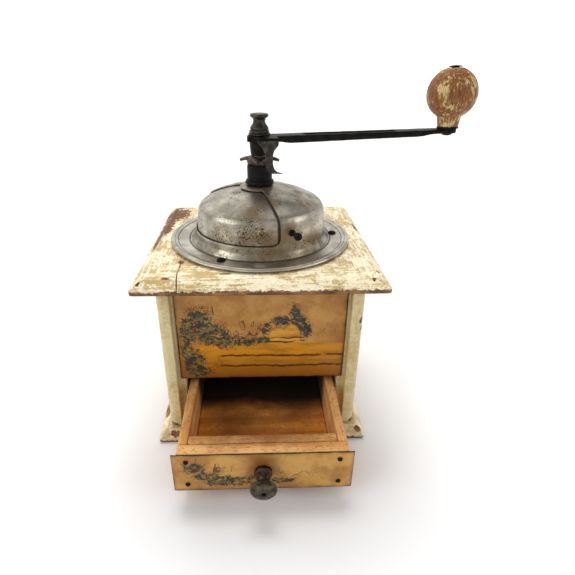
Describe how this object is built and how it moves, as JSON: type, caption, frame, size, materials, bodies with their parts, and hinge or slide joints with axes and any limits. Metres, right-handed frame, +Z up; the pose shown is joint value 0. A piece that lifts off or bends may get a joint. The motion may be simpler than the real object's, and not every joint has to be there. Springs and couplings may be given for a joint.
{
  "type": "hand crank coffee grinder",
  "caption": "Wooden box coffee mill with a sheet steel hopper dome, a turning hopper door, an iron crank with a ball handle and a drawer.",
  "frame": {"origin": "middle of the base board's underside, on the surface that the mill stands on", "axes": "+Z up along the crank shaft, -Y towards the drawer's front, +X towards the crank handle at rest"},
  "size_m": [0.1937, 0.1906, 0.2144],
  "materials": {
    "cream_paint": "cream oil paint on wood, brushed, chipped and worn",
    "printed_tin": "printed sheet tin, aged lacquer",
    "bare_wood": "bare beech, oiled by use",
    "dull_nickel": "dull nickel plate with tarnish",
    "cast_iron": "blackened iron with light rust",
    "aged_steel": "darkened steel",
    "dark_brass": "darkened turned brass",
    "bearing_brass": "plain brass",
    "worn_knob_paint": "cream paint worn through to the wood"
  },
  "bodies": {
    "case": {"base_board": "cream_paint", "top_board": "cream_paint", "post_front_left": "cream_paint", "post_front_right": "cream_paint", "post_back_left": "cream_paint", "post_back_right": "cream_paint", "left_panel": "cream_paint", "right_panel": "cream_paint", "back_panel": "cream_paint", "front_board": "bare_wood", "front_picture_plate": "printed_tin", "flange_ring": "dull_nickel", "ring_screw_1": "aged_steel", "ring_screw_2": "aged_steel", "ring_screw_3": "aged_steel", "dome_shell": "dull_nickel", "dome_stud": "cast_iron", "bridge": "cast_iron", "bridge_bush": "bearing_brass", "collar_ring": "cast_iron", "bridge_bolt_left": "aged_steel", "bridge_bolt_right": "aged_steel", "bridge_nut_left": "aged_steel", "bridge_nut_right": "aged_steel", "ring_burr": "cast_iron", "lower_bearing_strap": "cast_iron"},
    "crank": {"main_shaft": "aged_steel", "inner_burr": "cast_iron", "burr_nut": "aged_steel", "burr_spring": "aged_steel", "crank_arm": "cast_iron", "hub_washer": "aged_steel", "spool_nut": "aged_steel", "handle_pin": "cast_iron", "handle_washer": "cast_iron"},
    "handle": {"ball_handle": "worn_knob_paint"},
    "adjuster": {"star_adjuster": "cast_iron"},
    "catch": {"catch_leaf": "aged_steel"},
    "door": {"hopper_door": "dull_nickel", "door_rivet": "bearing_brass"},
    "drawer": {"drawer_side_left": "bare_wood", "drawer_side_right": "bare_wood", "drawer_front_wall": "bare_wood", "drawer_back_wall": "bare_wood", "drawer_floor": "bare_wood", "drawer_face_board": "bare_wood", "drawer_picture_plate": "printed_tin", "drawer_nail_top_left": "cast_iron", "drawer_nail_top_right": "cast_iron", "drawer_nail_bottom_left": "cast_iron", "drawer_nail_bottom_right": "cast_iron", "drawer_knob": "dark_brass", "drawer_knob_screw": "aged_steel"}
  },
  "joints": [
    {"name": "crank_turn", "type": "hinge", "parent": "case", "child": "crank", "pos_m": [0, 0, 0.16], "axis": [0, 0, 1], "continuous": true},
    {"name": "handle_spin", "type": "hinge", "parent": "crank", "child": "handle", "pos_m": [0.1113, 0, 0.18063], "axis": [-0.0349, 0, 0.9994], "continuous": true},
    {"name": "adjuster_turn", "type": "hinge", "parent": "crank", "child": "adjuster", "pos_m": [0, 0, 0.1628], "axis": [0, 0, 1], "range_deg": [-360, 360]},
    {"name": "catch_flex", "type": "hinge", "parent": "crank", "child": "catch", "pos_m": [0.0049, -0.0128, 0.1756], "axis": [-1, 0, 0], "range_deg": [0, 10], "stiffness_Nm_per_rad": 0.05},
    {"name": "door_turn", "type": "hinge", "parent": "case", "child": "door", "pos_m": [0, 0, 0.125], "axis": [0, 0, 1], "range_deg": [-113, 0]},
    {"name": "drawer_slide", "type": "slide", "parent": "case", "child": "drawer", "axis": [0, -1, 0], "range_m": [-0.0556, 0.025]}
  ]
}
